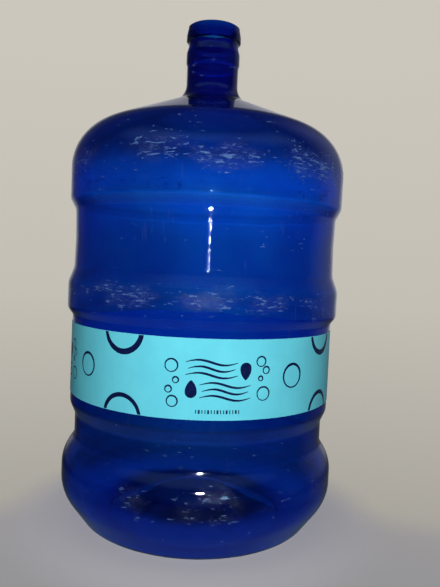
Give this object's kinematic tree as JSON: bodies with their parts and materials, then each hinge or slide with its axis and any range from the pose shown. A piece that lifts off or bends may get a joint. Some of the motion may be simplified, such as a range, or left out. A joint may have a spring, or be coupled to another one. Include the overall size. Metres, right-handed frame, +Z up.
{
  "type": "large water jug",
  "caption": "Empty blue returnable water-cooler bottle: one-piece blown shell with hoop rings, pushed-up base and open push-cap neck, with a lapped film label round its waist.",
  "frame": {"origin": "centre of the standing plane, on the bottle's axis", "axes": "+Z up along the bottle's axis, out of the mouth; -Y is the label's front; the label's lap is at +Y"},
  "size_m": [0.2736, 0.2736, 0.495],
  "materials": {
    "blue_tinted_plastic": "gloss, tinted and see-through, with a scuffed shoulder, hoop and base bulge",
    "cyan_label_film": "semi-gloss printed film, opaque"
  },
  "bodies": {
    "root": {"bottle_shell": "blue_tinted_plastic", "wrap_label": "cyan_label_film"}
  },
  "joints": []
}
